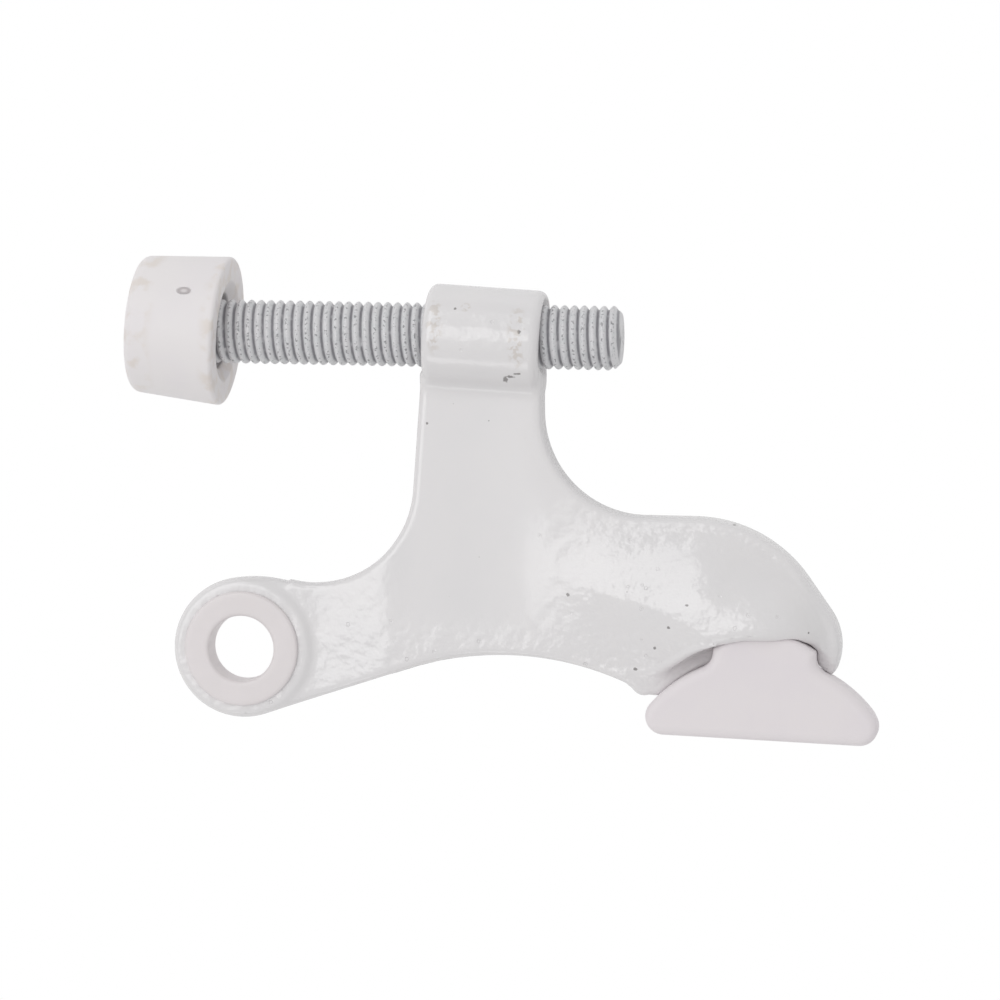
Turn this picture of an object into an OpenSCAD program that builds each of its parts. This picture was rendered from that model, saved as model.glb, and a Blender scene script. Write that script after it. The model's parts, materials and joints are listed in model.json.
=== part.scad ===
// Hinge-pin door stop: a cast arm hangs on the hinge pin by its eye, a threaded
// screw carries a soft bumper that meets the wall or the trim, and a soft pad on
// the arm's foot meets the door.
//
// Frame: the origin is on the hinge-pin axis, in the arm's middle plane.
// +Z runs up the hinge pin, +X along the adjusting screw to its free end, and
// +Y from the hinge pin to the screw. All sizes are in millimetres.

/* [Hinge eye] */
// Bore of the bushing that the hinge pin passes through
pin_bore_d = 8.36; // [8:0.01:8.6]
// Outside diameter of the eye of the arm
eye_d = 17.8; // [17:0.1:18.6]
// Thickness of the eye
eye_t = 3.6; // [3:0.1:4.4]
// Diameter of the flange of the bushing
bushing_flange_d = 14.6; // [13.6:0.1:15.4]
// Thickness of the flange of the bushing
bushing_flange_t = 0.6; // [0.4:0.1:1]
// Outside diameter of the sleeve of the bushing
bushing_sleeve_d = 10.6; // [10.2:0.1:11]

/* [Arm] */
// Thickness of the neck and of the foot's web
web_t = 4.4; // [4:0.1:5]
// Thickness of the arm where it meets the eye
arm_root_t = 2.4; // [2:0.1:3]
// Radius of the hollow between the neck and the eye
left_hollow_r = 13; // [12.8:0.1:13.2]
// Radius of the hollow between the neck and the foot
right_hollow_r = 13.1; // [13:0.1:13.2]
// Radius of the long arch under the arm
arch_r = 38; // [37.5:0.1:38.5]
// Angle that the underside rises at from the eye to the arch
underside_rise = 19.1; // [18.8:0.1:19.4]

/* [Screw boss] */
// Outside diameter of the boss
boss_d = 12.8; // [12.4:0.1:13.4]
// Length of the boss
boss_l = 14.8; // [14:0.1:15.4]
// Angle that the outside of the cast boss is askew of its thread
boss_skew = 3; // [0:0.5:4]

/* [Adjusting screw] */
// Outside diameter of the painted thread
screw_d = 8.1; // [7.9:0.01:8.2]
// Pitch of the thread, right-handed
screw_pitch = 1.25; // [1:0.25:1.5]
// Depth of the thread under its paint
thread_depth = 0.52; // [0.4:0.01:0.7]
// Height of the screw axis above the hinge-pin axis
screw_y = 40.2; // [39.8:0.1:40.6]
// Place of the free end of the screw along X
screw_end_x = 47.9; // [45:0.1:50]
// Radial clearance of the screw in the boss
screw_clearance = 0.05; // [0.02:0.01:0.1]
// Diameter of the head that holds the bumper
head_d = 11.6; // [11:0.1:12]
// Thickness of the head
head_t = 1.8; // [1.4:0.1:2]

/* [Wall bumper] */
// Diameter at the open back
bumper_back_d = 18.9; // [18.4:0.1:19.4]
// Length from the back to the face that meets the wall
bumper_l = 11.6; // [11.2:0.1:12.2]
// Angle of the tapered side
bumper_taper = 4.1; // [3:0.1:5]
// Diameter of the recess around the screw
bumper_recess_d = 12.7; // [12:0.1:13]
// Angle that the soft bumper sits askew on the head, in the plane of the arm
bumper_cock = 4; // [0:0.1:5]
// Angle that the soft bumper sits askew on the head, out of that plane
bumper_yaw = 1; // [0:0.1:2.5]

/* [Door pad] */
// Width of the pad across its two tips
pad_w = 29.1; // [28.6:0.1:29.6]
// Thickness of the pad along the hinge pin
pad_t = 12.4; // [12:0.1:13.6]
// Radius of the crowned back of the pad
pad_crown_r = 18.2; // [18:0.1:18.4]
// Radius of the two tips under the crown
pad_tip_r = 2.31; // [2.2:0.01:2.4]
// Diameter of the stem of the pad
stem_d = 12.8; // [12.4:0.1:13]
// Angle of the pad's face to the screw
pad_tilt = 1.6; // [0:0.1:2.5]

/* [Foot] */
// Thickness of the cast foot around the stem
foot_t = 15.8; // [15.6:0.1:16.4]
// Radial clearance around the stem of the pad
stem_clearance = 0.05; // [0.03:0.01:0.1]

/* [Hidden] */
$fn = 96;
eps = 0.01;

paint_white = [0.86, 0.85, 0.855];
vinyl_white = [0.89, 0.87, 0.875];
thread_grey = [0.72, 0.72, 0.735];
bushing_white = [0.86, 0.835, 0.84];

eye_r = eye_d / 2;
bushing_fit = 0.02;
eye_bore_r = bushing_sleeve_d / 2 + bushing_fit;
boss_r = boss_d / 2;
screw_r = screw_d / 2;
root_r = screw_r - thread_depth;
stem_r = stem_d / 2;
foot_h = foot_t / 2;

// Middle of the boss
boss_x = 30.75;
boss_y = screw_y - 0.25;

// Middle of the back rim of the bumper
bumper_x = -2.4;
bumper_recess_depth = 5.2;
bumper_lip_r = 5.1;
bumper_pocket = [6.0, 9.4];
bumper_corner_r = 1.6;
bumper_rim_r = 0.8;
// Room around the head of the screw in its pocket
head_room = 0.9;

// Middle of the pad's flat face, and the centre of its crown from there
pad_face = [66.6, -9.3];
pad_crown_drop = 7.82;
// The stem runs from inside the crown to this height above the flat face
stem_from = 9;
stem_to = 17;
stem_x = pad_face[0] + (stem_to - stem_from) * sin(pad_tilt);
web_gap = 0.3;

// The swollen foot: its dome starts at this height and is this tall, and its tail is an oval
dome_y = 4;
dome_l = 8;
dome_skirt = 6;
tail_c = [59.5, 5.6, 0];
tail_r = 6.2;
tail_l = 13;
// The lip climbs between these two places, from its low to its high level
lip_x = [53, 66.5];
lip_low_y = -1.6;
lip_high_y = 3.9;

// ---------------------------------------------------------------- outline of the arm

// Points of an arc about c, from angle a to angle b
function arc(c, r, a, b, n) = [
    for (i = [0:n]) let (t = a + (b - a) * i / n) c + r * [cos(t), sin(t)]
];

// Angle of the direction from point p to point q
function toward(p, q) = atan2(q[1] - p[1], q[0] - p[0]);

// Left side of the neck leans by this angle
neck_lean = 2.85;
left_hollow_c = [8.9, 21.46];
// The crown of the arm over the eye is tangent to the eye and to the left hollow
eye_crown_c = [1.63, -8.55];
eye_crown_r = norm(eye_crown_c) + eye_r;
eye_crown_a = toward(eye_crown_c, [0, 0]);
eye_crown_b = toward(eye_crown_c, left_hollow_c);

// The straight underside is tangent to the eye at one end and to the arch at the other
under_a = 270 + underside_rise;
under_dir = [cos(underside_rise), sin(underside_rise)];
under_l = 19.95;
under_from = eye_r * [cos(under_a), sin(under_a)];
arch_c = under_from + under_l * under_dir - arch_r * [-under_dir[1], under_dir[0]];
arch_end_a = 66.5;

// Inside the eye the outline runs this much below the rim, and it leaves the rim at these places
eye_inset = 0.6;
crown_leave_a = 8;
under_leave_l = 2.2;
inset_a = [12, 16];

// The foot's toe, its lower edge that clears the pad's crown, and its nose
toe_c = [51.5, -2.95];
toe_r = 1.6;
nose_c = [68.85, 2.6];
nose_r = 7.4;
shoulder_c = [57, 1.2];
shoulder_r = 17;
right_hollow_c = [37.8 + right_hollow_r, shoulder_c[1] + shoulder_r + right_hollow_r];
pad_axis = [sin(pad_tilt), cos(pad_tilt)];
pad_crown_c = pad_face - pad_crown_drop * pad_axis;
saddle_r = pad_crown_r + web_gap;

module arm_outline() {
    polygon(concat(
        [[23, screw_y - 1]],
        arc(left_hollow_c, left_hollow_r, -neck_lean, eye_crown_b - 180, 24),
        arc(eye_crown_c, eye_crown_r, eye_crown_b, eye_crown_a - crown_leave_a, 6),
        arc([0, 0], eye_r - eye_inset, eye_crown_a + inset_a[0], under_a - inset_a[1], 10),
        [under_from + under_leave_l * under_dir],
        arc(arch_c, arch_r, 90 + underside_rise, arch_end_a, 20),
        arc(toe_c, toe_r, 205, 290, 6),
        arc(pad_crown_c, saddle_r, 135, 62, 24),
        arc(nose_c, nose_r, -28, 44, 12),
        arc(shoulder_c, shoulder_r, 44, 90, 14),
        arc(right_hollow_c, right_hollow_r, 270, 180, 24),
        [[37.8, screw_y - 1]]
    ));
}

// Side view of the web: thin at the eye, full thickness from the neck on
module web_side() {
    a = arm_root_t / 2;
    b = web_t / 2;
    polygon([[-12, -a], [9, -a], [24, -b], [80, -b], [80, b], [24, b], [9, a], [-12, a]]);
}

module web() {
    intersection() {
        linear_extrude(web_t + 1, center = true) arm_outline();
        rotate([-90, 0, 0]) translate([0, 0, -12]) linear_extrude(60) web_side();
    }
}

// Half of an oval about the Y axis, for rotate_extrude: r wide and l high, from height a to b
module half_oval(r, l, a, b) {
    polygon(concat([[0, l * sin(a)]], [for (t = [a:6:b]) [max(0, r * cos(t)), l * sin(t)]]));
}

// The swollen part of the foot: a dome around the stem of the pad, and a long oval tail
module foot_swell() {
    intersection() {
        union() {
            translate([stem_x, dome_y, 0]) rotate([-90, 0, 0]) {
                rotate_extrude() half_oval(foot_h, dome_l, 0, 90);
                translate([0, 0, -dome_skirt]) cylinder(r = foot_h, h = dome_skirt + eps);
            }
            translate(tail_c) rotate([0, 90, 0]) rotate_extrude() half_oval(tail_r, tail_l, -90, 90);
        }
        linear_extrude(foot_t + 1, center = true) above_lip();
    }
}

// A point of the lip, from its low end at 0 to its high end at 1, in a smooth S
lip_n = 16;
function lip_point(t) = [
    lip_x[0] + (lip_x[1] - lip_x[0]) * t,
    lip_low_y + (lip_high_y - lip_low_y) * t * t * (3 - 2 * t)
];

// The part of the foot above its lip, which rises in an S from the toe and arches over the stem
module above_lip() {
    polygon(concat(
        [[40, 30], [40, lip_low_y]],
        [for (i = [0:lip_n]) lip_point(i / lip_n)],
        [[80, lip_high_y], [80, 30]]
    ));
}

// Places a shape drawn about +Z on the pad's axis, measured from the pad's flat face
module on_pad_axis() {
    translate([pad_face[0], pad_face[1], 0]) rotate([-90, 0, -pad_tilt]) children();
}

module arm() {
    color(paint_white) difference() {
        union() {
            web();
            cylinder(r = eye_r, h = eye_t, center = true);
            translate([boss_x, boss_y, 0]) rotate([0, 90, -boss_skew])
                cylinder(r = boss_r, h = boss_l, center = true);
            foot_swell();
        }
        cylinder(r = eye_bore_r, h = eye_t + 2, center = true);
        translate([boss_x, screw_y, 0]) rotate([0, 90, 0])
            cylinder(r = screw_r + screw_clearance, h = boss_l + 6, center = true);
        on_pad_axis() cylinder(r = stem_r + stem_clearance, h = stem_to + 0.3);
    }
}

// ---------------------------------------------------------------- small parts

// Flanged sleeve that snaps into the eye, with a retaining bead at its back
module hinge_bushing() {
    bore_r = pin_bore_d / 2;
    sleeve_r = bushing_sleeve_d / 2;
    flange_r = bushing_flange_d / 2;
    face_z = eye_t / 2 + bushing_flange_t;
    bead_r = sleeve_r + 0.35;
    bead_top = -eye_t / 2 - bushing_fit;
    bead_z = bead_top - 0.33;
    round_r = 0.3;
    color(bushing_white) rotate_extrude() polygon(concat(
        [[bore_r, bead_z], [sleeve_r + 0.1, bead_z]],
        [[bead_r, bead_top], [sleeve_r, bead_top]],
        [[sleeve_r, eye_t / 2 + eps], [flange_r, eye_t / 2 + eps]],
        arc([flange_r - round_r, face_z - round_r], round_r, 0, 90, 5),
        arc([bore_r + round_r, face_z - round_r], round_r, 90, 180, 5)
    ));
}

// Door pad: a half-moon of soft vinyl with a round stem
module door_pad() {
    tip_x = pad_w / 2 - pad_tip_r;
    crown_a = 39.6;
    color(vinyl_white) union() {
        translate([pad_face[0], pad_face[1], 0]) rotate(-pad_tilt) linear_extrude(pad_t, center = true)
            polygon(concat(
                arc([-tip_x, pad_tip_r], pad_tip_r, 270, 180 - crown_a + 4, 10),
                arc([0, -pad_crown_drop], pad_crown_r, 180 - crown_a, crown_a, 36),
                arc([tip_x, pad_tip_r], pad_tip_r, crown_a - 4, -90, 10)
            ));
        on_pad_axis() {
            translate([0, 0, stem_from]) cylinder(r = stem_r, h = stem_to - stem_from - 1);
            translate([0, 0, stem_to - 1 - eps]) cylinder(r1 = stem_r, r2 = stem_r - 1, h = 1);
        }
    }
}

// Soft cap that snaps over the head of the screw; drawn from its open back
module wall_bumper() {
    back_r = bumper_back_d / 2;
    recess_r = bumper_recess_d / 2;
    pocket_r = head_d / 2 + head_room;
    pocket_z = bumper_pocket;
    front_r = back_r - (bumper_l - bumper_corner_r) * tan(bumper_taper);
    corner_c = [front_r - bumper_corner_r, bumper_l - bumper_corner_r];
    color(vinyl_white) translate([bumper_x, screw_y, 0]) rotate([0, -bumper_yaw, -bumper_cock])
        rotate([0, -90, 0]) rotate_extrude() polygon(concat(
            arc([back_r - bumper_rim_r, bumper_rim_r], bumper_rim_r, -90, bumper_taper, 6),
            arc(corner_c, bumper_corner_r, bumper_taper, 90, 8),
            [[0, bumper_l], [0, pocket_z[1]], [pocket_r, pocket_z[1]], [pocket_r, pocket_z[0]]],
            [[bumper_lip_r, pocket_z[0]], [bumper_lip_r, bumper_recess_depth]],
            [[recess_r - 0.5, bumper_recess_depth]],
            arc([recess_r + bumper_rim_r, bumper_rim_r], bumper_rim_r, 180, 270, 6)
        ));
}

// ---------------------------------------------------------------- adjusting screw

// One turn of the thread is a four-step form: along the crest, down, along the root, up
form_x = [0, 0.2, 0.5, 0.7];
form_r = [screw_r, screw_r, root_r, root_r];
turn_n = 20;
head_x = -11.2;
thread_x0 = head_x + head_t / 2;
end_r = root_r - 0.3;
turns = floor((screw_end_x - thread_x0) / screw_pitch) - 1;
rows = 4 * turns;

function row_x(k) = thread_x0 + 0.1 + screw_pitch * (floor(k / 4) + form_x[k % 4]);
function rod_x(k, j) = row_x(k) + screw_pitch * j / turn_n;
function rod_r(k, j) = min(form_r[k % 4], end_r + screw_end_x - rod_x(k, j));
function rod_point(x, r, j) = [x, screw_y + r * cos(360 * j / turn_n), r * sin(360 * j / turn_n)];

// The rod with its helical thread, as one closed skin
module threaded_rod() {
    last = turn_n - 1;
    start_cap = (rows + 1) * turn_n;
    end_cap = start_cap + turn_n;
    points = concat(
        [for (k = [0:rows]) for (j = [0:last]) rod_point(rod_x(k, j), rod_r(k, j), j)],
        [for (j = [0:last]) rod_point(thread_x0, root_r, j)],
        [for (j = [0:last]) rod_point(screw_end_x, end_r, j)]
    );
    skin = [for (k = [0:rows - 1]) for (j = [0:last - 1])
        let (a = k * turn_n + j) each [[a + turn_n + 1, a + 1, a], [a + turn_n, a + turn_n + 1, a]]];
    // Across the seam each row meets the row one turn further on
    seam = [for (k = [0:rows - 5])
        let (a = k * turn_n + last, b = (k + 4) * turn_n)
        each [[b + turn_n, b, a], [a + turn_n, b + turn_n, a]]];
    start_wall = [for (j = [0:last - 1])
        each [[j + 1, start_cap + j + 1, start_cap + j], [j, j + 1, start_cap + j]]];
    start_step = concat(
        [for (k = [0:3]) [(k + 1) * turn_n, k * turn_n, last]],
        [[0, start_cap, last], [start_cap, start_cap + last, last]]
    );
    top = rows * turn_n;
    end_wall = [for (j = [0:last - 1])
        each [[end_cap + j + 1, top + j + 1, top + j], [end_cap + j, end_cap + j + 1, top + j]]];
    end_step = concat(
        [for (k = [rows - 4:rows - 1]) [(k + 1) * turn_n + last, top, k * turn_n + last]],
        [[end_cap + last, top, top + last], [end_cap + last, end_cap, top]]
    );
    caps = [
        [for (j = [0:last]) start_cap + j],
        [for (j = [last:-1:0]) end_cap + j]
    ];
    polyhedron(points, concat(skin, seam, start_wall, start_step, end_wall, end_step, caps));
}

module adjusting_screw() {
    color(thread_grey) union() {
        threaded_rod();
        translate([head_x, screw_y, 0]) rotate([0, 90, 0]) rotate_extrude() polygon([
            [0, 0], [head_d / 2 - 0.5, 0], [head_d / 2, 0.5], [head_d / 2, head_t], [0, head_t]
        ]);
    }
}

arm();
hinge_bushing();
adjusting_screw();
wall_bumper();
door_pad();
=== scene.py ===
import json
import math

import bmesh
import bpy
import numpy as np
from mathutils import Matrix, Vector

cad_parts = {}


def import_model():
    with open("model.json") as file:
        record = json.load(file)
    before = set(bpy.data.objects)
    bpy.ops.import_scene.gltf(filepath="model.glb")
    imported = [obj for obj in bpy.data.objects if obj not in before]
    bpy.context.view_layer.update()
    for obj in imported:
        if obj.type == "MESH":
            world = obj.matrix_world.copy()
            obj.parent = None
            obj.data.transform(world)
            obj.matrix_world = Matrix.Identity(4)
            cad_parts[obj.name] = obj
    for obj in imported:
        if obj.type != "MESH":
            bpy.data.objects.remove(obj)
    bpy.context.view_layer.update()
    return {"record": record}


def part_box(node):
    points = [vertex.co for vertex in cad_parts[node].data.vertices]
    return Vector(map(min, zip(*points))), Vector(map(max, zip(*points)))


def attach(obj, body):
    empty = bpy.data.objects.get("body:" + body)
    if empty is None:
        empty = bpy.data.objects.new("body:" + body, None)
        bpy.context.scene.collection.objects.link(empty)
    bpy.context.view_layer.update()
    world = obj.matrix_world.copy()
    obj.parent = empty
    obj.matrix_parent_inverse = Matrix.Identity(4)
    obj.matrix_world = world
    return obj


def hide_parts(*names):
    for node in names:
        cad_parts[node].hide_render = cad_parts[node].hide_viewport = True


# Looks of a hinge-pin door stop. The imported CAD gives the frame: where each piece is, and how big.
# Every shape below is worked out in millimetres and stored in metres.

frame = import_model()

MM = 0.001


# ------------------------------------------------------------------ places from the frame

def mount_row(name):
    """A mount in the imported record."""
    return next(m for m in frame["record"]["mounts"] if m["name"] == name)


def mount(name):
    """Place in millimetres and direction of a mount."""
    row = mount_row(name)
    return np.array(row["pos_m"]) / MM, np.array(row["axis"], float)


def box(node):
    """Lowest and highest corner of a CAD node, in millimetres."""
    low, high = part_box(node)
    return np.array(low) / MM, np.array(high) / MM


SCREW_LOW, SCREW_HIGH = box("adjusting_screw")
PAD_FACE, PAD_OUT = mount("door_pad_face")
BUMPER_FACE, BUMPER_OUT = mount("bumper_face")

# The screw runs along X at this height
SCREW_Y = (SCREW_LOW[1] + SCREW_HIGH[1]) / 2


# ------------------------------------------------------------------ distance fields
# A field gives, for points x, y, z, the distance to a surface: below zero inside.

def smooth_min(a, b, k):
    """Union of two fields with a fillet of about k."""
    h = np.maximum(k - np.abs(a - b), 0) / k
    return np.minimum(a, b) - h * h * k / 4


def smooth_max(a, b, k):
    """Overlap of two fields with an edge rounded by about k."""
    return -smooth_min(-a, -b, k)


def rounded_slab(side, face, r):
    """Overlap of a side wall and a flat face whose shared edge has radius r."""
    u, v = side + r, face + r
    return np.minimum(np.maximum(u, v), 0) + np.hypot(np.maximum(u, 0), np.maximum(v, 0)) - r


def smooth_step(x, low, high):
    t = np.clip((x - low) / (high - low), 0, 1)
    return t * t * (3 - 2 * t)


class Outline:
    """Signed distance to a closed outline of arcs (cx, cy, radius, start, end) joined by straight lines.
    An arc of no radius is a corner."""

    RASTER = 0.25
    MARGIN = 3
    POINTS_PER_ARC = 40

    def __init__(self, arcs):
        self.arcs = arcs
        starts = [self.on_arc(a, a[3]) for a in arcs]
        ends = [self.on_arc(a, a[4]) for a in arcs]
        self.lines = [(ends[i], starts[(i + 1) % len(arcs)]) for i in range(len(arcs))]
        ring = [self.on_arc(a, t) for a in arcs
                for t in np.linspace(a[3], a[4], self.POINTS_PER_ARC)]
        self.raster(np.array(ring))

    @staticmethod
    def on_arc(arc, degrees):
        cx, cy, r = arc[:3]
        turn = math.radians(degrees)
        return np.array([cx + r * math.cos(turn), cy + r * math.sin(turn)])

    def raster(self, ring):
        """Signed distances on a raster, to tell inside from outside."""
        self.low = ring.min(0) - self.MARGIN
        size = np.ceil((ring.max(0) + self.MARGIN - self.low) / self.RASTER).astype(int) + 2
        x = (self.low[0] + self.RASTER * np.arange(size[0]))[:, None]
        y = (self.low[1] + self.RASTER * np.arange(size[1]))[None, :]
        odd = np.zeros(tuple(size), bool)
        for (x0, y0), (x1, y1) in zip(ring, np.roll(ring, -1, 0)):
            if y0 != y1:
                odd ^= ((y0 > y) != (y1 > y)) & (x < x0 + (x1 - x0) * (y - y0) / (y1 - y0))
        self.signed = np.where(odd, -1, 1) * self.unsigned(x, y)

    def unsigned(self, x, y):
        best = np.full(np.broadcast(x, y).shape, np.inf)
        for cx, cy, r, start, end in self.arcs:
            dx, dy = x - cx, y - cy
            middle, half = (start + end) / 2, abs(end - start) / 2
            turn = (np.degrees(np.arctan2(dy, dx)) - middle + 180) % 360 - 180
            best = np.where(np.abs(turn) <= half, np.minimum(best, np.abs(np.hypot(dx, dy) - r)), best)
        for (x0, y0), (x1, y1) in self.lines:
            ex, ey = x1 - x0, y1 - y0
            t = np.clip(((x - x0) * ex + (y - y0) * ey) / max(ex * ex + ey * ey, 1e-12), 0, 1)
            best = np.minimum(best, np.hypot(x - x0 - t * ex, y - y0 - t * ey))
        return best

    def __call__(self, x, y):
        u = np.clip((x - self.low[0]) / self.RASTER, 0, self.signed.shape[0] - 1.001)
        v = np.clip((y - self.low[1]) / self.RASTER, 0, self.signed.shape[1] - 1.001)
        i, j = u.astype(int), v.astype(int)
        u, v = u - i, v - j
        s = self.signed
        side = (s[i, j] * (1 - u) * (1 - v) + s[i + 1, j] * u * (1 - v)
                + s[i, j + 1] * (1 - u) * v + s[i + 1, j + 1] * u * v)
        return np.copysign(self.unsigned(x, y), side)


# ------------------------------------------------------------------ meshes

def clear_checkers(values):
    """Moves samples across the surface until no square of the grid has alternating signs. Every edge of the
    net then joins two quads."""
    found = True
    while found:
        found = False
        for pair in ((0, 1), (1, 2), (0, 2)):
            v = np.moveaxis(values, pair, (0, 1))
            inside = v < 0
            a, b, c, d = inside[:-1, :-1], inside[1:, :-1], inside[1:, 1:], inside[:-1, 1:]
            for i, j, k in np.argwhere((a == c) & (b == d) & (a != b)):
                square = [(i, j, k), (i + 1, j, k), (i + 1, j + 1, k), (i, j + 1, k)]
                nearest = min(square, key=lambda at: abs(v[at]))
                v[nearest] = -v[nearest]
                found = True


def surface_net(values):
    """Vertices, in grid steps, and quads on the zero level of a grid of distances."""
    inside = values < 0
    cells = tuple(n - 1 for n in values.shape)
    total = np.zeros(cells + (3,), np.float32)
    count = np.zeros(cells, np.float32)
    crossings = []
    for axis in range(3):
        flips = np.moveaxis(inside, axis, 0)
        flips = flips[:-1] != flips[1:]
        crossings.append(np.moveaxis(flips, 0, axis))
        at = np.argwhere(crossings[axis])
        step = np.eye(3, dtype=int)[axis]
        v0 = values[tuple(at.T)]
        v1 = values[tuple((at + step).T)]
        point = at + step * (v0 / (v0 - v1))[:, None]
        others = [k for k in range(3) if k != axis]
        for d0 in (0, 1):
            for d1 in (0, 1):
                cell = at.copy()
                cell[:, others[0]] -= d0
                cell[:, others[1]] -= d1
                ok = (cell >= 0).all(1) & (cell < cells).all(1)
                np.add.at(total, tuple(cell[ok].T), point[ok])
                np.add.at(count, tuple(cell[ok].T), 1)
    index = np.full(cells, -1)
    used = count > 0
    index[used] = np.arange(used.sum())
    vertices = total[used] / count[used][:, None]
    quads = []
    for axis in range(3):
        at = np.argwhere(crossings[axis])
        b, c = (axis + 1) % 3, (axis + 2) % 3
        corners = []
        for db, dc in ((1, 1), (0, 1), (0, 0), (1, 0)):
            cell = at.copy()
            cell[:, b] -= db
            cell[:, c] -= dc
            corners.append(index[tuple(cell.T)])
        quad = np.stack(corners, 1)
        outward = inside[tuple(at.T)]
        quads.append(np.where(outward[:, None], quad, quad[:, ::-1]))
    return vertices, np.concatenate(quads)


def settle(points, field, step, rounds=5):
    """Moves points onto the zero level of a field."""
    eps = step / 20
    for _ in range(rounds):
        x, y, z = points.T
        d = field(x, y, z)
        slope = np.stack([
            field(x + eps, y, z) - field(x - eps, y, z),
            field(x, y + eps, z) - field(x, y - eps, z),
            field(x, y, z + eps) - field(x, y, z - eps),
        ], 1) / (2 * eps)
        move = slope * (d / np.maximum((slope ** 2).sum(1), 0.1))[:, None]
        points = points - np.clip(move, -step / 2, step / 2)
    return points


def make_object(name, vertices, faces):
    """A smooth-shaded mesh object from an array of vertices in millimetres and a list of faces."""
    mesh = bpy.data.meshes.new(name)
    mesh.from_pydata((vertices * MM).tolist(), [], faces)
    mesh.polygons.foreach_set("use_smooth", [True] * len(mesh.polygons))
    mesh.update()
    made = bpy.data.objects.new(name, mesh)
    bpy.context.scene.collection.objects.link(made)
    return made


def mesh_from_field(name, field, low, high, step):
    """An object on the zero level of a field within a box."""
    low, high = np.array(low, float), np.array(high, float)
    axes = [np.arange(low[k], high[k] + step, step) for k in range(3)]
    values = field(axes[0][:, None, None], axes[1][None, :, None], axes[2][None, None, :])
    clear_checkers(values)
    vertices, quads = surface_net(values)
    vertices = settle(low + vertices * step, field, step)
    return make_object(name, vertices, quads.tolist())


def close_on_axis(mesh):
    """Joins the points that a lathe put on its own axis, and drops the stretch along it."""
    work = bmesh.new()
    work.from_mesh(mesh)
    bmesh.ops.remove_doubles(work, verts=work.verts, dist=1e-7)
    bmesh.ops.delete(work, geom=[v for v in work.verts if not v.link_faces], context="VERTS")
    bmesh.ops.delete(work, geom=[e for e in work.edges if not e.link_faces], context="EDGES")
    work.to_mesh(mesh)
    work.free()


def lathe(name, profile, segments=128):
    """An object turned about its own Z from a closed profile of (radius, height), anticlockwise."""
    profile = np.array(profile)
    n = len(profile)
    turn = np.linspace(0, 2 * math.pi, segments, endpoint=False)
    vertices = np.stack([
        np.outer(np.cos(turn), profile[:, 0]),
        np.outer(np.sin(turn), profile[:, 0]),
        np.tile(profile[:, 1], (segments, 1)),
    ], 2).reshape(-1, 3)
    i, j = np.meshgrid(np.arange(segments), np.arange(n), indexing="ij")
    i2, j2 = (i + 1) % segments, (j + 1) % n
    quads = np.stack([i * n + j, i2 * n + j, i2 * n + j2, i * n + j2], 2).reshape(-1, 4)
    made = make_object(name, vertices, quads.tolist())
    close_on_axis(made.data)
    return made


def fillet(corners, steps=6):
    """A closed profile through corners (r, z, radius), each rounded by its radius."""
    points = []
    n = len(corners)
    for i, (x, y, radius) in enumerate(corners):
        p = np.array([x, y])
        before = np.array(corners[i - 1][:2]) - p
        after = np.array(corners[(i + 1) % n][:2]) - p
        before, after = before / np.linalg.norm(before), after / np.linalg.norm(after)
        if radius == 0:
            points.append(p)
            continue
        half = math.acos(np.clip(before @ after, -1, 1)) / 2
        reach = radius / math.tan(half)
        middle = (before + after) / np.linalg.norm(before + after)
        centre = p + middle * radius / math.sin(half)
        a, b = p + before * reach - centre, p + after * reach - centre
        sweep = math.pi - 2 * half
        for t in np.linspace(0, 1, steps + 1):
            blend = math.sin((1 - t) * sweep) * a + math.sin(t * sweep) * b
            points.append(centre + blend / math.sin(sweep))
    return points


def along(points, spacing):
    """A closed profile with its long straight stretches divided."""
    made = []
    for p, q in zip(points, points[1:] + points[:1]):
        parts = max(1, math.ceil(np.linalg.norm(q - p) / spacing))
        made += [p + (q - p) * k / parts for k in range(parts)]
    return made


def stand_for(piece, body, node):
    """The piece moves with a body and stands for a CAD node, which is hidden."""
    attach(piece, body)
    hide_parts(node)
    return piece


# ------------------------------------------------------------------ the door pad

# The pad is drawn in its own frame: x along the face that meets the door, y from that face into the arm,
# z up the hinge pin. Its outline is a flat face, two round tips and a crown.
PAD_W, PAD_T = 29.1, 12.2
PAD_EDGE_R = 1.0
PAD_TIP_R = 2.31
# The crown: its radius, how far its centre lies outside the face, and the angle where it meets the tips
PAD_CROWN_R, PAD_CROWN_DROP, PAD_CROWN_A = 18.2, 7.82, 39.6
# From a quarter of the thickness above the middle down to the back, the sides draw in by this much per
# millimetre
PAD_DRAFT = 0.12
# The part of the stem that shows is a block with an arched end
STEM_R = 6.4
NECK_FROM, NECK_TO = 5, 13.7
NECK_ARCH = 0.06
NECK_BLEND = 1.5
# Inside the arm the stem is round
STEM_INSIDE_R = 5.6
STEM_FROM, STEM_TO = 13, 17
STEM_EDGE_R = 1


def pad_neck(x, y):
    """The part of the stem that shows, seen along the hinge pin."""
    ends = np.maximum(NECK_FROM - y, y - NECK_TO + NECK_ARCH * x * x)
    return np.maximum(np.abs(x) - STEM_R, ends)


def pad_stem(x, y, z):
    """The round stem inside the arm."""
    ends = np.abs(y - (STEM_FROM + STEM_TO) / 2) - (STEM_TO - STEM_FROM) / 2
    return rounded_slab(np.hypot(x, z) - STEM_INSIDE_R, ends, STEM_EDGE_R)


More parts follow.
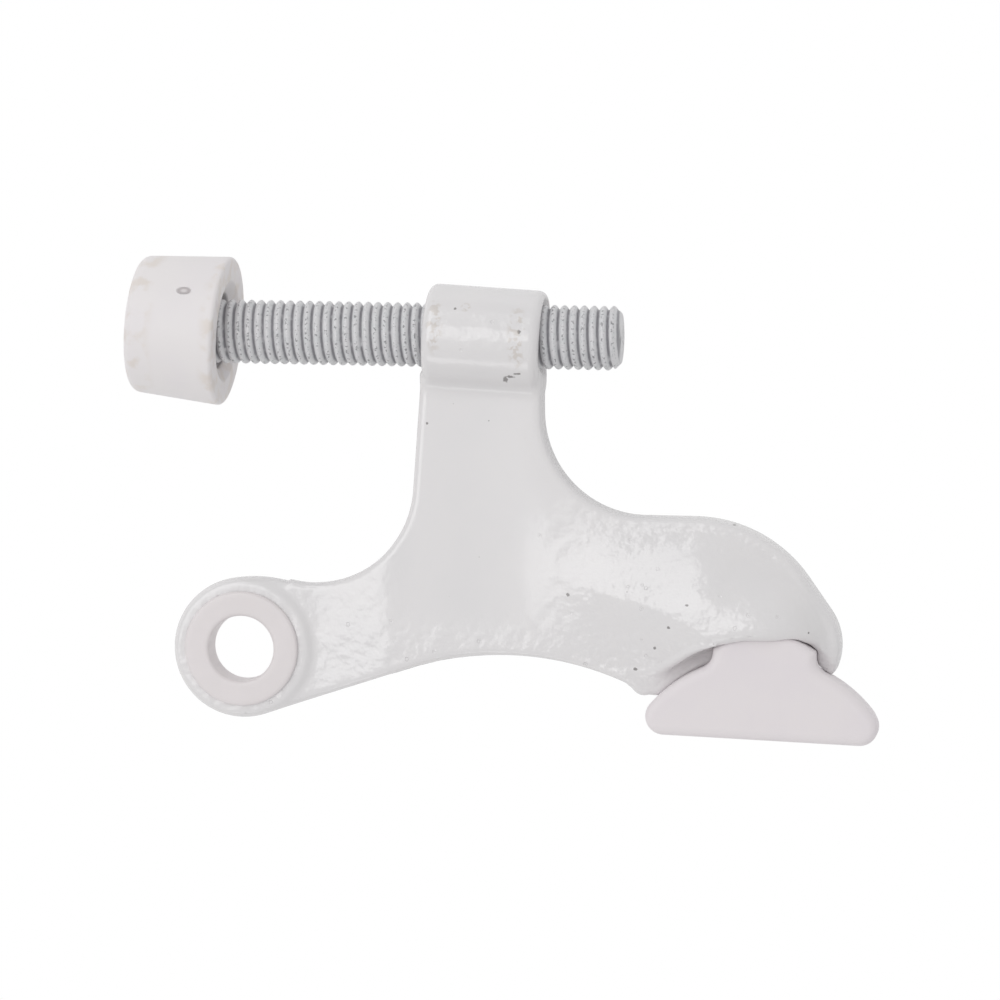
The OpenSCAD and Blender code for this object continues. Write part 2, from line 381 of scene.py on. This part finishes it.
def pad_field():
    tip_x = PAD_W / 2 - PAD_TIP_R
    outline = Outline([
        (0, -PAD_CROWN_DROP, PAD_CROWN_R, PAD_CROWN_A, 180 - PAD_CROWN_A),
        (-tip_x, PAD_TIP_R, PAD_TIP_R, 180 - PAD_CROWN_A, 270),
        (tip_x, PAD_TIP_R, PAD_TIP_R, -90, PAD_CROWN_A),
    ])

    def field(x, y, z):
        side = smooth_min(outline(x, y), pad_neck(x, y), NECK_BLEND)
        drawn_in = PAD_DRAFT * np.maximum(PAD_T / 4 - z, 0)
        body = rounded_slab(side + drawn_in, np.abs(z) - PAD_T / 2, PAD_EDGE_R)
        return np.minimum(body, pad_stem(x, y, z))
    return field


def build_pad(step):
    margin = 3 * step
    low = np.array([-PAD_W / 2, 0, -PAD_T / 2]) - margin
    high = np.array([PAD_W / 2, STEM_TO, PAD_T / 2]) + margin
    made = mesh_from_field("door_pad_vinyl", pad_field(), low, high, step)
    up = -Vector(PAD_OUT)
    turn = Matrix((Vector((up.y, -up.x, 0)), up, Vector((0, 0, 1)))).transposed().to_4x4()
    made.matrix_world = Matrix.Translation(Vector(PAD_FACE) * MM) @ turn
    return stand_for(made, "arm", "door_pad")


# ------------------------------------------------------------------ the arm

EYE_R = -box("arm")[0][0]
# Half thicknesses of the eye, of the root of the arm beside it, and of the web
EYE_HALF, ROOT_HALF, WEB_HALF = 1.8, 1.2, 2.2
# The eye gives way to the root between these distances from the pin, and the root to the web between
# these places along X
EYE_STEP = (EYE_R - 0.75, EYE_R + 0.55)
TAPER_X = (9, 19.5)
WEB_EDGE_R = 0.8

# The outline. A neck carries the boss, and leans a little where it meets the left hollow.
NECK_X = (23, 37.8)
NECK_TOP = SCREW_Y - 1
NECK_LEAN = 2.85
HOLLOW_LEFT = (8.9, 21.46, 13)
HOLLOW_RIGHT = (51.1, 30.9, 13.1)
# The crown of the arm over the eye touches the eye and the left hollow
CROWN_C = (1.63, -8.55)
# Under the eye a straight line rises at this angle for this length, and an arch follows it
UNDER_RISE, UNDER_L = 19.1, 19.95
ARCH_R, ARCH_END = 38, 66.5
TOE = (51.5, -2.95, 1.6, 205, 290)
# The saddle follows the pad's crown, just inside it
SADDLE_INTO_PAD = 0.4
SADDLE_SPAN = (135, 62)
NOSE = (68.6, 2.2, 7.4, -28, 36)
SHOULDER = (57.6, 0.4, 17.4, 36, 90)


def angle(a, b):
    return math.degrees(math.atan2(b[1] - a[1], b[0] - a[0]))


def arm_outline():
    """Arcs of the arm seen along the hinge pin, anticlockwise: from the neck by the eye to the arch, the
    toe and the saddle over the pad, and the nose up to the neck."""
    rise = math.radians(UNDER_RISE)
    crown_r = math.hypot(*CROWN_C) + EYE_R
    to_hollow = angle(CROWN_C, HOLLOW_LEFT)
    to_eye = angle(CROWN_C, (0, 0))
    line_end = (EYE_R * math.sin(rise) + UNDER_L * math.cos(rise),
                -EYE_R * math.cos(rise) + UNDER_L * math.sin(rise))
    arch_c = (line_end[0] + ARCH_R * math.sin(rise), line_end[1] - ARCH_R * math.cos(rise))
    pad_crown = PAD_FACE + PAD_CROWN_DROP * PAD_OUT
    left = [
        (NECK_X[0], NECK_TOP, 0, 0, 0),
        HOLLOW_LEFT + (-NECK_LEAN, to_hollow - 180),
        CROWN_C + (crown_r, to_hollow, to_eye),
        (0, 0, EYE_R, to_eye, 270 + UNDER_RISE),
        arch_c + (ARCH_R, 90 + UNDER_RISE, ARCH_END),
    ]
    saddle = [TOE, (pad_crown[0], pad_crown[1], PAD_CROWN_R - SADDLE_INTO_PAD) + SADDLE_SPAN]
    right = [NOSE, SHOULDER, HOLLOW_RIGHT + (270, 180), (NECK_X[1], NECK_TOP, 0, 0, 0)]
    return left, saddle, right


# Below the foot the swell has no edge of its own: there its outline runs through these points
SWELL_BELOW = [(60, -7.5, 0, 0, 0), (76.2, -12, 0, 0, 0)]
# The swell rises along X between these places, from its base to this half thickness
SWELL_X = (34, 62.5)
SWELL_BASE, SWELL_HALF = WEB_HALF - 0.5, 7.1
# It starts this far inside the edge of the web, and takes this long to reach its full height
SWELL_EDGE, SWELL_ROLL = 1.2, 10
SWELL_FILLET = 1.6
# Towards the eye it sinks by this much into the web, between these places along X
SWELL_SINK, SWELL_SINK_X = 3, (14, 40)
# A dome covers the stem of the pad
DOME_C, DOME_R = (66.9, 4.2), 7.3
DOME_BLEND = 2.5
# From the first place along X to the second, the lip under the swell climbs between these heights
LIP_X, LIP_Y = (50.5, 65.5), (-2.1, 3.2)
# Past this place it falls again, by this much times the square of the distance
LIP_FALL_X, LIP_FALL = 70, 0.1
# The wall under the lip leans back by this much per height left of the stem, and not above it
LIP_LEAN = 0.3
LIP_LEAN_X = (57, 63)
# The edge of the lip is sharp left of the stem, with a bead along it, and rolls over above the stem
LIP_ROUND, LIP_ROLL = 0.6, 1.0
BEAD_R, BEAD_INTO, BEAD_BLEND = 0.4, 0.15, 0.3
# The swell and the wall change faster than a true distance would, so they are scaled down
SWELL_SLOPE, WALL_SLOPE = 0.9, 0.8


def foot_swell(x, y, z, inside):
    """The swollen foot around the pad's stem, cut off below by a curved lip."""
    part = np.clip((inside - SWELL_EDGE) / SWELL_ROLL, 0, 1)
    rise = smooth_step(x, *SWELL_X) * part * (3 - part * part) / 2
    half = SWELL_BASE + (SWELL_HALF - SWELL_BASE) * rise
    half = half - SWELL_SINK * (1 - smooth_step(x, *SWELL_SINK_X))
    dome = np.sqrt((x - DOME_C[0]) ** 2 + np.maximum(y - DOME_C[1], 0) ** 2 + z ** 2) - DOME_R
    swell = smooth_min((np.abs(z) - half) * SWELL_SLOPE, dome, DOME_BLEND)
    lip = LIP_Y[0] + (LIP_Y[1] - LIP_Y[0]) * smooth_step(x, *LIP_X)
    lip = lip - LIP_FALL * np.maximum(x - LIP_FALL_X, 0) ** 2
    over_stem = smooth_step(x, *LIP_LEAN_X)
    lean = LIP_LEAN * (1 - over_stem)
    wall = (lip - y + lean * np.maximum(np.abs(z) - WEB_HALF, 0)) * WALL_SLOPE
    lipped = smooth_max(swell, wall, LIP_ROUND + LIP_ROLL * over_stem)
    bead = np.hypot(swell + BEAD_INTO, wall + BEAD_INTO) - BEAD_R * (1 - over_stem)
    return smooth_min(lipped, bead, BEAD_BLEND)


BOSS_C = (30.75, SCREW_Y - 0.25)
BOSS_R, BOSS_L = 6.4, 14.8
BOSS_SKEW = 3
BOSS_EDGE_R = 1.1
BOSS_FILLET = 1.2
# The bore through it widens by this much at its mouths, over the same length
BORE_R, MOUTH = 4.1, 0.7


def boss(x, y, z):
    """The barrel around the screw, cast a little askew, with rounded ends."""
    c, s = math.cos(math.radians(BOSS_SKEW)), math.sin(math.radians(BOSS_SKEW))
    u = (x - BOSS_C[0]) * c - (y - BOSS_C[1]) * s
    v = (x - BOSS_C[0]) * s + (y - BOSS_C[1]) * c
    return rounded_slab(np.hypot(v, z) - BOSS_R, np.abs(u) - BOSS_L / 2, BOSS_EDGE_R)


def screw_bore(x, y, z):
    from_end = BOSS_L / 2 - np.abs(x - BOSS_C[0])
    return np.hypot(y - SCREW_Y, z) - BORE_R - np.clip(MOUTH - from_end, 0, MOUTH)


# A faint groove inside the edge of the web, between these places along X from none to its full depth
GROOVE_AT, GROOVE_W, GROOVE_DEPTH = 1.4, 0.4, 0.06
GROOVE_X = (60, 66)
EYE_BORE_R = 5.32
SOCKET_GAP = 0.06
# The edges of the three holes are rounded by about this much
BORE_EDGE, EYE_BORE_EDGE, SOCKET_EDGE = 0.4, 0.2, 0.25


def arm_field():
    left, saddle, right = arm_outline()
    outline = Outline(left + saddle + right)
    swell_outline = Outline(left + SWELL_BELOW + right)
    pad = pad_field()

    def field(x, y, z):
        half = ROOT_HALF + (WEB_HALF - ROOT_HALF) * smooth_step(x, *TAPER_X)
        from_eye = np.hypot(x, y)
        half = half + (EYE_HALF - ROOT_HALF) * (1 - smooth_step(from_eye, *EYE_STEP))
        side = outline(x, y)
        groove = GROOVE_DEPTH * np.exp(-((-side - GROOVE_AT) / GROOVE_W) ** 2)
        half = half - groove * smooth_step(x, *GROOVE_X)
        body = rounded_slab(side, np.abs(z) - half, WEB_EDGE_R)
        swell = np.maximum(foot_swell(x, y, z, -swell_outline(x, y)), SWELL_EDGE / 2 + side)
        body = smooth_min(body, swell, SWELL_FILLET)
        body = smooth_min(body, boss(x, y, z), BOSS_FILLET)
        body = smooth_max(body, -screw_bore(x, y, z), BORE_EDGE)
        body = smooth_max(body, EYE_BORE_R - from_eye, EYE_BORE_EDGE)
        across = (x - PAD_FACE[0]) * -PAD_OUT[1] + (y - PAD_FACE[1]) * PAD_OUT[0]
        up = (x - PAD_FACE[0]) * -PAD_OUT[0] + (y - PAD_FACE[1]) * -PAD_OUT[1]
        socket = pad(across, up, z) - SOCKET_GAP
        return smooth_max(body, -socket, SOCKET_EDGE)
    return field


def build_arm(step):
    low, high = box("arm")
    margin = 3 * step
    made = mesh_from_field("arm_casting", arm_field(), low - margin, high + margin, step)
    return stand_for(made, "arm", "arm")


# ------------------------------------------------------------------ the wall bumper

# The bumper's own z runs from its open back to the face that meets the wall
BUMPER_L = 11.6
BUMPER_BACK_R = 9.45
BUMPER_TAPER = 4.1
DISH_R, DISH_DEPTH = 6.4, 0.9
ROD_HOLE_R = 4.8
# The room for the screw's head: its radius, and where it starts and ends
HEAD_ROOM_R, HEAD_ROOM = 6.7, (6, 9.4)


def build_bumper():
    """A soft cap with a shallow dish around the rod, and a hollow for the screw's head."""
    front_r = BUMPER_BACK_R - BUMPER_L * math.tan(math.radians(BUMPER_TAPER))
    back_z, front_z = HEAD_ROOM
    path = fillet([
        (DISH_R, 0, 0.6), (BUMPER_BACK_R, 0, 0.5), (front_r, BUMPER_L, 1.2), (0, BUMPER_L, 0),
        (0, front_z, 0), (HEAD_ROOM_R, front_z, 0.3), (HEAD_ROOM_R, back_z, 0.3),
        (ROD_HOLE_R, back_z, 0.3), (ROD_HOLE_R, DISH_DEPTH, 0.4),
    ])
    made = lathe("wall_bumper_vinyl", along(path, 0.6))
    out = Vector(BUMPER_OUT)
    side = out.cross(Vector((0, 0, 1))).normalized()
    turn = Matrix((side, out.cross(side), out)).transposed().to_4x4()
    made.matrix_world = Matrix.Translation(Vector(BUMPER_FACE) * MM - out * BUMPER_L * MM) @ turn
    return stand_for(made, "bumper", "wall_bumper")


# ------------------------------------------------------------------ the bushing

SLEEVE_R = 5.3
# The underside of the flange
SEAT_Z = 1.81
# The bead that snaps out behind the eye: its length from the back, and how far it stands out
SNAP_L, SNAP_OUT = 0.36, 0.35


def build_bushing():
    """A flanged sleeve through the eye."""
    low, high = box("hinge_bushing")
    bore_r = mount_row("hinge_pin_bore")["dims"]["r_mm"]
    flange_r, top_z, back_z = high[0], high[2], low[2]
    path = fillet([
        (bore_r, back_z, 0.2), (SLEEVE_R + 0.1, back_z, 0.15),
        (SLEEVE_R + SNAP_OUT, back_z + SNAP_L - 0.03, 0.1), (SLEEVE_R, back_z + SNAP_L, 0),
        (SLEEVE_R, SEAT_Z, 0), (flange_r, SEAT_Z, 0.15), (flange_r, top_z, 0.4), (bore_r, top_z, 0.45),
    ])
    made = lathe("bushing_moulded", along(path, 0.5))
    return stand_for(made, "arm", "hinge_bushing")


# ------------------------------------------------------------------ the adjusting screw

PITCH = 1.25
THREAD_DEPTH = 0.62
CREST_R = 4.05
# A place along X where a crest crosses the side of the rod that faces +Y
CREST_X = -10.575
END_CHAMFER = 0.25
HEAD_T = 1.8
# The rim of the head: distances from its flat face, and below its full radius
HEAD_RIM = [(0, 0.5), (0.15, 0.15), (0.5, 0), (HEAD_T - 0.1, 0), (HEAD_T, 0.1)]


def build_screw(around=96, per_pitch=14):
    """The threaded rod with rounded, painted crests, and the flat head at its hidden end."""
    head_r = SCREW_HIGH[1] - SCREW_Y
    root_r = CREST_R - THREAD_DEPTH
    low, end = SCREW_LOW[0], SCREW_HIGH[0]
    turn = np.linspace(0, 2 * math.pi, around, endpoint=False)[None, :]
    rows = int((end - low - HEAD_T) / PITCH * per_pitch)
    rod_x = np.linspace(low + HEAD_T, end, rows)[:, None]
    phase = (rod_x - CREST_X) / PITCH - turn / (2 * math.pi)
    ridge = (0.5 + 0.5 * np.cos(2 * math.pi * phase)) ** 0.5
    rod_r = np.minimum(root_r + THREAD_DEPTH * ridge, root_r - END_CHAMFER + (end - rod_x))
    rim = np.array(HEAD_RIM)
    x = np.concatenate([low + rim[:, :1], rod_x]) + 0 * turn
    r = np.concatenate([head_r - rim[:, 1:] + 0 * turn, rod_r])
    rings = np.stack([x, SCREW_Y + r * np.cos(turn), r * np.sin(turn)], 2)

    n = len(rings)
    i, j = np.meshgrid(np.arange(n - 1) * around, np.arange(around), indexing="ij")
    j2 = (j + 1) % around
    quads = np.stack([i + j, i + j2, i + around + j2, i + around + j], 2)
    faces = quads.reshape(-1, 4).tolist()
    last = (n - 1) * around
    for k in range(around):
        k2 = (k + 1) % around
        faces.append([n * around, k2, k])
        faces.append([n * around + 1, last + k, last + k2])
    middles = [[low, SCREW_Y, 0], [end, SCREW_Y, 0]]
    made = make_object("screw_threaded", np.concatenate([rings.reshape(-1, 3), middles]), faces)
    return stand_for(made, "screw", "adjusting_screw")


# ------------------------------------------------------------------ materials

class Paint:
    """A material and the shader nodes that vary it. Places and lengths are in the object's own metres."""

    def __init__(self, name, color, roughness, specular=0.5):
        self.material = bpy.data.materials.new(name)
        self.material.use_nodes = True
        self.tree = self.material.node_tree
        self.shader = self.tree.nodes["Principled BSDF"]
        self.shader.inputs["Roughness"].default_value = roughness
        self.shader.inputs["Specular IOR Level"].default_value = specular
        self.where = self.node("TexCoord").outputs["Object"]
        self.color = self.node("RGB").outputs[0]
        self.color.default_value = color + (1,)

    def node(self, kind, inputs=None, **settings):
        made = self.tree.nodes.new("ShaderNode" + kind)
        for key, value in settings.items():
            setattr(made, key, value)
        for key, value in (inputs or {}).items():
            self.put(made.inputs[key], value)
        return made

    def put(self, socket, value):
        if isinstance(value, bpy.types.NodeSocket):
            self.tree.links.new(value, socket)
        else:
            socket.default_value = value

    def math(self, operation, *values):
        return self.node("Math", dict(enumerate(values)), operation=operation).outputs[0]

    def times(self, a, b):
        return self.math("MULTIPLY", a, b)

    def noise(self, size, detail=2.0):
        """Smooth noise from 0 to 1 with features of about a size in millimetres."""
        inputs = {"Vector": self.where, "Scale": 1 / (size * MM), "Detail": detail}
        return self.node("TexNoise", inputs).outputs["Fac"]

    def ramp(self, value, low, high):
        """0 where the value is low, 1 where it is high."""
        inputs = {"Value": value, "From Min": low, "From Max": high}
        return self.node("MapRange", inputs, interpolation_type="SMOOTHSTEP").outputs["Result"]

    def tint(self, factor, color):
        """Mixes a colour in where the factor is 1."""
        made = self.node("Mix", {0: factor, 6: self.color, 7: color + (1,)}, data_type="RGBA")
        self.color = made.outputs[2]

    def axis(self, name):
        return self.node("SeparateXYZ", {0: self.where}).outputs[name]

    def past(self, axis, start, end):
        """0 before the start and 1 past the end along an axis, in millimetres."""
        return self.ramp(self.axis(axis), start * MM, end * MM)

    def away(self, place, radii):
        """Distance from a place in millimetres, counted in radii."""
        inputs = {0: self.where, 1: tuple(p * MM for p in place)}
        moved = self.node("VectorMath", inputs, operation="SUBTRACT").outputs[0]
        inputs = {0: moved, 1: tuple(1 / (r * MM) for r in radii)}
        counted = self.node("VectorMath", inputs, operation="MULTIPLY").outputs[0]
        return self.node("VectorMath", {0: counted}, operation="LENGTH").outputs["Value"]

    def specks(self, spacing, radius, share):
        """1 inside small round specks, in a share of cells of a spacing, in millimetres."""
        cells = self.node("TexVoronoi", {"Vector": self.where, "Scale": 1 / (spacing * MM)})
        near = self.ramp(cells.outputs["Distance"], radius / spacing, radius / spacing * 0.6)
        drawn = self.node("SeparateColor", {0: cells.outputs["Color"]}).outputs[0]
        return self.times(near, self.ramp(drawn, share, share * 0.98))

    def finish(self, height=None, depth=0.0):
        """Wires the colour and a relief of a depth in millimetres."""
        self.put(self.shader.inputs["Base Color"], self.color)
        if height is not None:
            bump = self.node("Bump", {"Height": height, "Distance": depth * MM})
            self.put(self.shader.inputs["Normal"], bump.outputs[0])
        return self.material


# Chips in the paint: place on the arm, and radii along X and Y, in millimetres
CHIPS = [
    ((35.8, 41.1, 6.3), (0.25, 0.22)), ((33.9, 35.0, 4.6), (0.3, 0.4)), ((34.6, 35.4, 4.6), (0.5, 0.16)),
    ((35.5, 35.8, 4.6), (0.5, 0.12)), ((62.9, 17.3, 2.4), (0.6, 0.2)), ((41.9, 8.1, 2.2), (0.24, 0.22)),
    ((57.3, 7.5, 5.6), (0.2, 0.16)), ((55.0, 4.6, 5), (0.22, 0.22)), ((53.1, 1.8, 4), (0.18, 0.18)),
    ((50.5, -1.1, 2.6), (0.25, 0.22)), ((23.7, 29.2, 2.2), (0.18, 0.16)), ((27.6, 43.8, 5), (0.16, 0.16)),
]
# Brownish scuffs on the boss: place and radii, in millimetres
SCUFFS = [
    ((25.1, 41.8, 6), (1.2, 4.0, 4)), ((35.5, 40.4, 6), (1.3, 4.8, 4)), ((28.9, 44.0, 5), (0.7, 0.6, 3)),
]


def casting_relief(paint):
    """Orange peel and dimples on the faces along the pin: faint on the neck and strongest low down."""
    low_down = paint.past("Y", 6, 1)
    beside_neck = paint.math("MAXIMUM", paint.past("X", 22, 17), paint.past("X", 36, 41))
    rough = paint.times(beside_neck, paint.past("Y", 23, 14))
    rough = paint.math("MAXIMUM", rough, low_down)
    rough = paint.math("MAXIMUM", rough, paint.past("Y", 32, 34))
    rough = paint.times(rough, paint.math("MULTIPLY_ADD", low_down, 0.6, 1.0))
    rough = paint.math("ADD", 0.06, paint.times(rough, 0.94))
    normal = paint.node("NewGeometry").outputs["True Normal"]
    facing = paint.math("ABSOLUTE", paint.node("SeparateXYZ", {0: normal}).outputs["Z"])
    rough = paint.times(rough, paint.ramp(facing, 0.75, 0.95))
    on_foot = paint.past("X", 40, 48)
    fine = paint.times(paint.noise(0.8, 1.0), paint.math("MULTIPLY_ADD", on_foot, 0.4, 0.4))
    share = paint.math("MULTIPLY_ADD", on_foot, 0.3, 1.0)
    peel = paint.math("MULTIPLY_ADD", paint.noise(2.2, 1.0), share, fine)
    dimples = paint.times(paint.specks(1.9, 0.3, 0.4), -0.5)
    return paint.times(rough, paint.math("ADD", peel, dimples))


def white_paint():
    """Gloss white over a casting, with pits, chips and scuffs."""
    paint = Paint("gloss_white_paint", (0.805, 0.787, 0.792), 0.17, 1.0)
    paint.tint(paint.ramp(paint.noise(9), 0.35, 0.65), (0.79, 0.775, 0.782))
    paint.tint(paint.times(paint.specks(1.9, 0.12, 0.3), 0.35), (0.45, 0.44, 0.44))
    paint.tint(paint.times(paint.specks(4.5, 0.17, 0.16), 0.9), (0.16, 0.155, 0.15))
    ragged = paint.times(paint.math("SUBTRACT", paint.noise(0.35), 0.5), 1.6)
    for place, (wide, tall) in CHIPS:
        near = paint.math("ADD", paint.away(place, (wide, tall, 2.5)), ragged)
        paint.tint(paint.times(paint.ramp(near, 1.2, 0.7), 0.85), (0.2, 0.19, 0.185))
    patchy = paint.ramp(paint.noise(0.8, 3.0), 0.46, 0.6)
    for place, radii in SCUFFS:
        darkening = paint.times(paint.ramp(paint.away(place, radii), 1.1, 0.5), patchy)
        paint.tint(paint.times(darkening, 0.45), (0.56, 0.49, 0.42))
    return paint.finish(casting_relief(paint), 0.1)


def vinyl(name, color, roughness=0.45):
    """Soft moulded vinyl with a faint uneven sheen."""
    paint = Paint(name, color, roughness, 0.4)
    uneven = tuple(c * k for c, k in zip(color, (0.97, 0.965, 0.985)))
    paint.tint(paint.times(paint.ramp(paint.noise(6), 0.4, 0.7), 0.5), uneven)
    paint.tint(paint.times(paint.specks(3.2, 0.14, 0.2), 0.5), (0.62, 0.58, 0.56))
    return paint


def pad_vinyl():
    paint = vinyl("soft_pad_vinyl", (0.83, 0.785, 0.80))
    return paint.finish(paint.noise(1.4), 0.01)


# The bumper's gate mark: this far from its back, and this far round from the top towards +Y
GATE_FROM_BACK = 4.3
GATE_ROUND = 34


def gate_place(bumper):
    """The gate mark in the bumper's own millimetres."""
    turn = math.radians(GATE_ROUND)
    up = bumper.matrix_world.to_3x3().inverted() @ Vector((0, math.sin(turn), math.cos(turn)))
    radius = BUMPER_BACK_R - GATE_FROM_BACK * math.tan(math.radians(BUMPER_TAPER))
    across = Vector((up.x, up.y)).normalized() * radius
    return (across.x, across.y, GATE_FROM_BACK)


def bumper_vinyl(gate):
    """Vinyl with a gate mark and with scuffs near both rims."""
    paint = vinyl("soft_bumper_vinyl", (0.85, 0.82, 0.822))
    patchy = paint.ramp(paint.noise(2.4, 3.0), 0.46, 0.66)
    rims = paint.math("MAXIMUM", paint.past("Z", 7.5, 9.5), paint.past("Z", 2.2, 0.6))
    paint.tint(paint.times(paint.times(patchy, rims), 0.45), (0.72, 0.64, 0.56))
    near = paint.away(gate, (0.45, 0.45, 0.8))
    ring = paint.times(paint.ramp(near, 1.2, 0.95), paint.ramp(near, 0.2, 0.85))
    paint.tint(paint.times(paint.ramp(near, 1.1, 0.9), 0.4), (0.5, 0.46, 0.46))
    paint.tint(paint.times(ring, 0.6), (0.36, 0.32, 0.33))
    height = paint.math("ADD", paint.times(paint.noise(1.4), 0.05), paint.ramp(near, 1.0, 1.3))
    return paint.finish(height, 0.15)


def bushing_plastic():
    paint = Paint("moulded_bushing_plastic", (0.80, 0.755, 0.762), 0.3, 0.5)
    paint.tint(paint.ramp(paint.noise(4), 0.35, 0.65), (0.785, 0.742, 0.747))
    paint.tint(paint.times(paint.specks(2.4, 0.12, 0.2), 0.5), (0.5, 0.47, 0.46))
    return paint.finish(paint.noise(0.9), 0.006)


def painted_thread():
    """Thin paint with painted shade darkening the thread roots in patches, and specks along the helix."""
    paint = Paint("thin_grey_white_paint", (0.73, 0.725, 0.738), 0.35, 0.6)
    across = paint.math("SUBTRACT", paint.axis("Y"), SCREW_Y * MM)
    turn = paint.math("DIVIDE", paint.math("ARCTAN2", paint.axis("Z"), across), 2 * math.pi)
    along_x = paint.math("DIVIDE", paint.math("SUBTRACT", paint.axis("X"), CREST_X * MM), PITCH * MM)
    wobble = paint.times(paint.math("SUBTRACT", paint.noise(0.8), 0.5), 0.1)
    phase = paint.math("FRACT", paint.math("ADD", paint.math("SUBTRACT", along_x, turn), wobble))
    from_root = paint.math("ABSOLUTE", paint.math("SUBTRACT", phase, 0.5))
    paint.tint(paint.times(paint.ramp(paint.noise(0.7), 0.4, 0.65), 0.5), (0.64, 0.66, 0.67))
    # Painted shade: the thread roots are darkened in noisy patches, standing in for the shadow inside them.
    darkening = paint.times(paint.ramp(from_root, 0.2, 0.05), paint.ramp(paint.noise(1.6), 0.15, 0.45))
    paint.tint(paint.times(darkening, 0.78), (0.17, 0.165, 0.19))
    grain = paint.ramp(paint.noise(0.35, 3.0), 0.55, 0.63)
    crest = paint.ramp(from_root, 0.3, 0.42)
    paint.tint(paint.times(paint.times(grain, crest), 0.75), (0.19, 0.19, 0.2))
    paint.tint(paint.times(paint.ramp(paint.noise(0.3, 3.0), 0.64, 0.72), 0.6), (0.2, 0.2, 0.2))
    return paint.finish(paint.noise(0.4, 3.0), 0.02)


# ------------------------------------------------------------------ scene

# The floor is this many metres wide and gives a little light of its own
FLOOR_SIZE = 6
FLOOR_Z = -12
FLOOR_GLOW = 0.15
WORLD_STRENGTH = 0.65
# The soft lights are this many metres above the object
PANEL_UP = 1.0
# The camera looks down the hinge pin at this place, a little from +X and +Y
VIEW_C = Vector((32.74, 19.53, 0)) * MM
VIEW_TILT = (8.4, 5.0)
VIEW_ROLL = 0.6
VIEW_DISTANCE = 0.6053
LENS = 172.8


def white_to_camera(tree, shader, white, out):
    """Wires a shader to an output, with plain white in its place where the camera sees it."""
    path = tree.nodes.new("ShaderNodeLightPath")
    mix = tree.nodes.new("ShaderNodeMixShader")
    white.inputs["Color"].default_value = (1, 1, 1, 1)
    tree.links.new(path.outputs["Is Camera Ray"], mix.inputs[0])
    tree.links.new(shader.outputs[0], mix.inputs[1])
    tree.links.new(white.outputs[0], mix.inputs[2])
    tree.links.new(mix.outputs[0], out.inputs["Surface"])


def pale_floor():
    bpy.ops.mesh.primitive_plane_add(size=FLOOR_SIZE, location=(0.03, 0.02, FLOOR_Z * MM))
    floor = bpy.context.object
    floor.name = "floor"
    material = bpy.data.materials.new("pale_floor")
    material.use_nodes = True
    tree = material.node_tree
    tree.nodes.clear()
    out = tree.nodes.new("ShaderNodeOutputMaterial")
    lit = tree.nodes.new("ShaderNodeBsdfDiffuse")
    lit.inputs["Color"].default_value = (0.8, 0.8, 0.8, 1)
    glow = tree.nodes.new("ShaderNodeEmission")
    glow.inputs["Strength"].default_value = FLOOR_GLOW
    both = tree.nodes.new("ShaderNodeAddShader")
    tree.links.new(lit.outputs[0], both.inputs[0])
    tree.links.new(glow.outputs[0], both.inputs[1])
    white_to_camera(tree, both, tree.nodes.new("ShaderNodeEmission"), out)
    floor.data.materials.append(material)


def world():
    """Even light from all around."""
    made = bpy.data.worlds.new("studio")
    bpy.context.scene.world = made
    made.use_nodes = True
    tree = made.node_tree
    tree.nodes.clear()
    out = tree.nodes.new("ShaderNodeOutputWorld")
    around = tree.nodes.new("ShaderNodeBackground")
    around.inputs["Color"].default_value = (1, 1, 1, 1)
    around.inputs["Strength"].default_value = WORLD_STRENGTH
    white_to_camera(tree, around, tree.nodes.new("ShaderNodeBackground"), out)


def panel(name, across, up, brightness):
    """A soft light over the object that spans these angles in degrees from overhead, towards +X and +Y."""
    (x0, x1), (y0, y1) = [[math.tan(math.radians(a)) * PANEL_UP for a in pair] for pair in (across, up)]
    light = bpy.data.lights.new(name, "AREA")
    light.shape = "RECTANGLE"
    light.size, light.size_y = x1 - x0, y1 - y0
    light.energy = brightness * math.pi * light.size * light.size_y
    made = bpy.data.objects.new(name, light)
    made.location = VIEW_C + Vector(((x0 + x1) / 2, (y0 + y1) / 2, PANEL_UP))
    bpy.context.scene.collection.objects.link(made)


def camera():
    toward = Vector([math.tan(math.radians(a)) for a in VIEW_TILT] + [1]).normalized()
    up = (Vector((0, 1, 0)) - toward * toward.y).normalized()
    right = up.cross(toward)
    c, s = math.cos(math.radians(VIEW_ROLL)), math.sin(math.radians(VIEW_ROLL))
    right, up = c * right + s * up, c * up - s * right
    data = bpy.data.cameras.new("camera")
    data.lens, data.sensor_width = LENS, 36
    data.clip_start, data.clip_end = 0.01, 20
    made = bpy.data.objects.new("camera", data)
    turn = Matrix((right, up, toward)).transposed().to_4x4()
    made.matrix_world = Matrix.Translation(VIEW_C + toward * VIEW_DISTANCE) @ turn
    bpy.context.scene.collection.objects.link(made)
    bpy.context.scene.camera = made


# The grid that the cast and moulded shapes are worked out on, in millimetres
STEP = 0.3
arm = build_arm(STEP)
pad = build_pad(STEP)
bumper = build_bumper()
bushing = build_bushing()
screw = build_screw()

arm.data.materials.append(white_paint())
pad.data.materials.append(pad_vinyl())
bumper.data.materials.append(bumper_vinyl(gate_place(bumper)))
bushing.data.materials.append(bushing_plastic())
screw.data.materials.append(painted_thread())

pale_floor()
world()
panel("left_panel", across=(-40, -14), up=(-12, 62), brightness=1.35)
panel("top_panel", across=(-25, -4), up=(0.5, 22), brightness=1.2)
panel("bottom_panel", across=(-45, -5), up=(-62, -50), brightness=1.0)
camera()
bpy.context.scene.view_settings.view_transform = "Standard"
